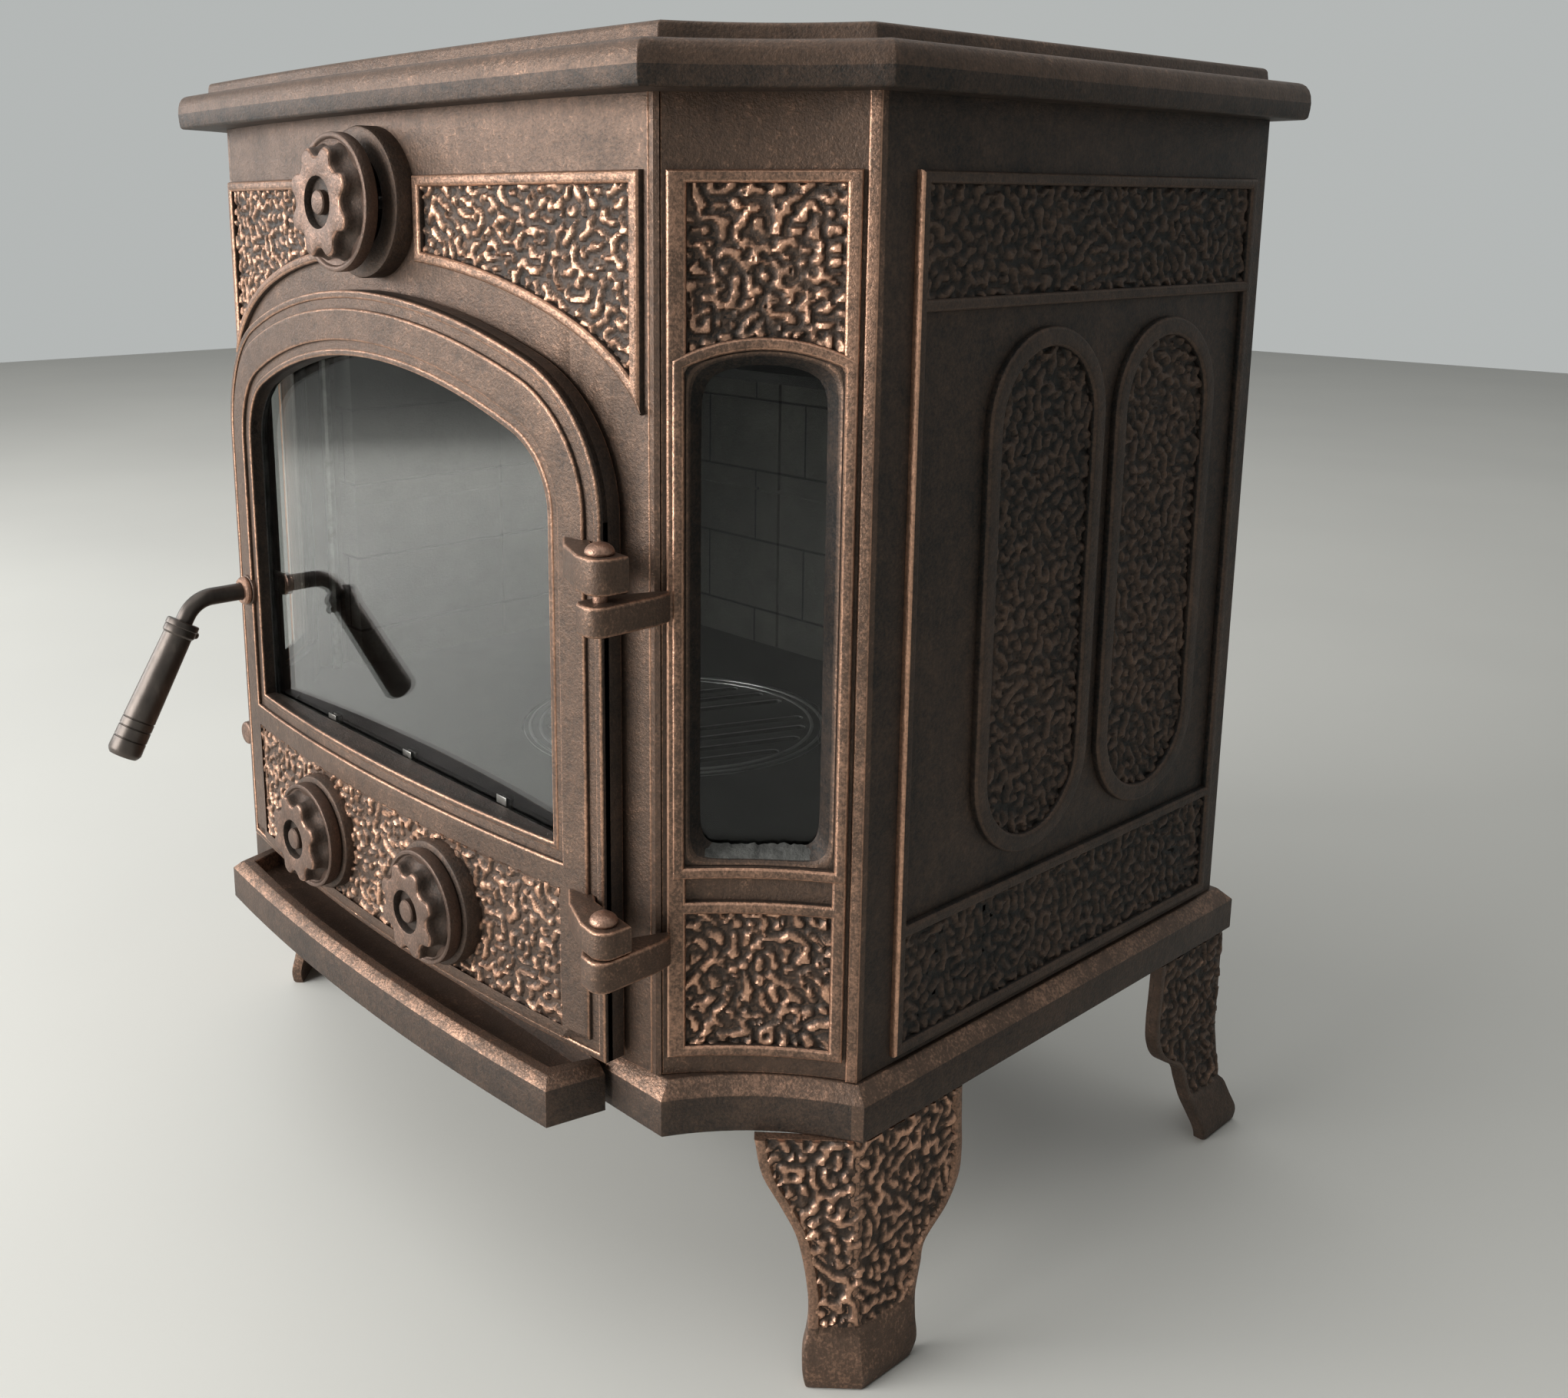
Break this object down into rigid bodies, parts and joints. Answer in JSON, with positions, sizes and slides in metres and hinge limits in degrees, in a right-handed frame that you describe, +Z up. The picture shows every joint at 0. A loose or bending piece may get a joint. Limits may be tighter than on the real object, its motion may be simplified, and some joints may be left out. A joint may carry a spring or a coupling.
{
  "type": "cast iron wood stove",
  "caption": "Cast iron wood stove with a bowed arched glass door, canted corner windows, screw air wheels, riddling grate, ash lip and shaped legs.",
  "frame": {"origin": "on the floor, under the middle of the whole stove's bounding box", "axes": "+Z up, -Y out of the glass door, +X to the right of someone who faces the door"},
  "size_m": [0.648, 0.6206, 0.72],
  "materials": {
    "cast_body": "sand cast iron with copper rubbed on its raised faces",
    "cast_copper": "sand cast iron rubbed with copper, satin",
    "handle_metal": "dark bronzed steel, satin",
    "inner_iron": "sooted cast iron, matt",
    "steel": "plain steel",
    "fire_brick": "rough fire brick, matt",
    "fire_glass": "clear heat-proof glass",
    "glass_fibre": "woven glass-fibre seal, matt"
  },
  "bodies": {
    "stove": {"base_plate": "cast_body", "ash_lip": "cast_body", "front_panel": "cast_body", "corner_panel_left": "cast_body", "corner_panel_right": "cast_body", "side_panel_left": "cast_body", "side_panel_right": "cast_body", "back_panel": "cast_body", "flue_collar": "cast_body", "top_plate": "cast_body", "leg_front_left": "cast_copper", "leg_front_right": "cast_copper", "leg_rear_left": "cast_copper", "leg_rear_right": "cast_copper", "hinge_pin_upper": "cast_copper", "hinge_pin_lower": "cast_copper", "window_liner_left": "inner_iron", "window_liner_right": "inner_iron", "floor_plate": "inner_iron", "ash_guide_left": "inner_iron", "ash_guide_right": "inner_iron", "ash_pan": "inner_iron", "baffle_plate": "inner_iron", "air_wash_duct": "inner_iron", "tie_rod_front_left": "steel", "tie_rod_front_right": "steel", "tie_rod_rear_left": "steel", "tie_rod_rear_right": "steel", "flue_collar_bolt_1": "steel", "flue_collar_bolt_2": "steel", "firebrick_back": "fire_brick", "firebrick_left": "fire_brick", "firebrick_right": "fire_brick", "window_glass_left": "fire_glass", "window_glass_right": "fire_glass", "window_tape_left": "glass_fibre", "window_tape_right": "glass_fibre"},
    "door": {"door": "cast_body", "door_glass_tape": "glass_fibre", "door_glass": "fire_glass", "glass_retainer": "steel", "glass_screw_1": "steel", "glass_screw_2": "steel", "glass_screw_3": "steel", "glass_screw_4": "steel", "door_rope": "glass_fibre"},
    "handle": {"handle_rod": "handle_metal", "handle_grip": "handle_metal", "grip_screw": "steel", "handle_collar": "cast_copper", "door_catch": "steel"},
    "riddling_pull": {"riddling_rod": "steel", "riddling_knob": "cast_copper"},
    "grate": {"riddling_grate": "inner_iron"},
    "upper_air_spindle": {"upper_air_spindle": "steel"},
    "upper_air_wheel": {"upper_air_wheel": "cast_copper"},
    "left_air_spindle": {"left_air_spindle": "steel"},
    "left_air_wheel": {"left_air_wheel": "cast_copper"},
    "right_air_spindle": {"right_air_spindle": "steel"},
    "right_air_wheel": {"right_air_wheel": "cast_copper"}
  },
  "joints": [
    {"name": "door_swing", "type": "hinge", "parent": "stove", "child": "door", "pos_m": [0.229, -0.21605, 0.383], "axis": [0, 0, 1], "range_deg": [0, 110]},
    {"name": "handle_turn", "type": "hinge", "parent": "door", "child": "handle", "pos_m": [-0.186, -0.20605, 0.373], "axis": [0, 1, 0], "range_deg": [0, 90]},
    {"name": "upper_air_slide", "type": "slide", "parent": "stove", "child": "upper_air_spindle", "axis": [0, -1, 0], "range_m": [-0.0082, 0.001]},
    {"name": "upper_air_turn", "type": "hinge", "parent": "upper_air_spindle", "child": "upper_air_wheel", "pos_m": [0, -0.21855, 0.6388], "axis": [0, -1, 0], "range_deg": [-972, 108]},
    {"name": "left_air_slide", "type": "slide", "parent": "door", "child": "left_air_spindle", "axis": [0, -1, 0], "range_m": [0, 0.0091]},
    {"name": "left_air_turn", "type": "hinge", "parent": "left_air_spindle", "child": "left_air_wheel", "pos_m": [-0.0695, -0.22087, 0.2331], "axis": [0, -1, 0], "range_deg": [0, 1080]},
    {"name": "right_air_slide", "type": "slide", "parent": "door", "child": "right_air_spindle", "axis": [0, -1, 0], "range_m": [0, 0.0091]},
    {"name": "right_air_turn", "type": "hinge", "parent": "right_air_spindle", "child": "right_air_wheel", "pos_m": [0.0695, -0.22087, 0.2331], "axis": [0, -1, 0], "range_deg": [0, 1080]},
    {"name": "grate_turn", "type": "hinge", "parent": "stove", "child": "grate", "pos_m": [0, 0.03495, 0.27], "axis": [0, 0, 1], "range_deg": [0, 7.8]},
    {"name": "riddle_slide", "type": "slide", "parent": "stove", "child": "riddling_pull", "axis": [0, -1, 0], "range_m": [0, 0.03]}
  ],
  "couplings": [
    {"joint": "upper_air_slide", "follows": "upper_air_turn", "m_per_rad": 0.00047746},
    {"joint": "left_air_slide", "follows": "left_air_turn", "m_per_rad": 0.00047746},
    {"joint": "right_air_slide", "follows": "right_air_turn", "m_per_rad": 0.00047746},
    {"joint": "riddle_slide", "follows": "grate_turn", "m_per_rad": 0.2178}
  ]
}
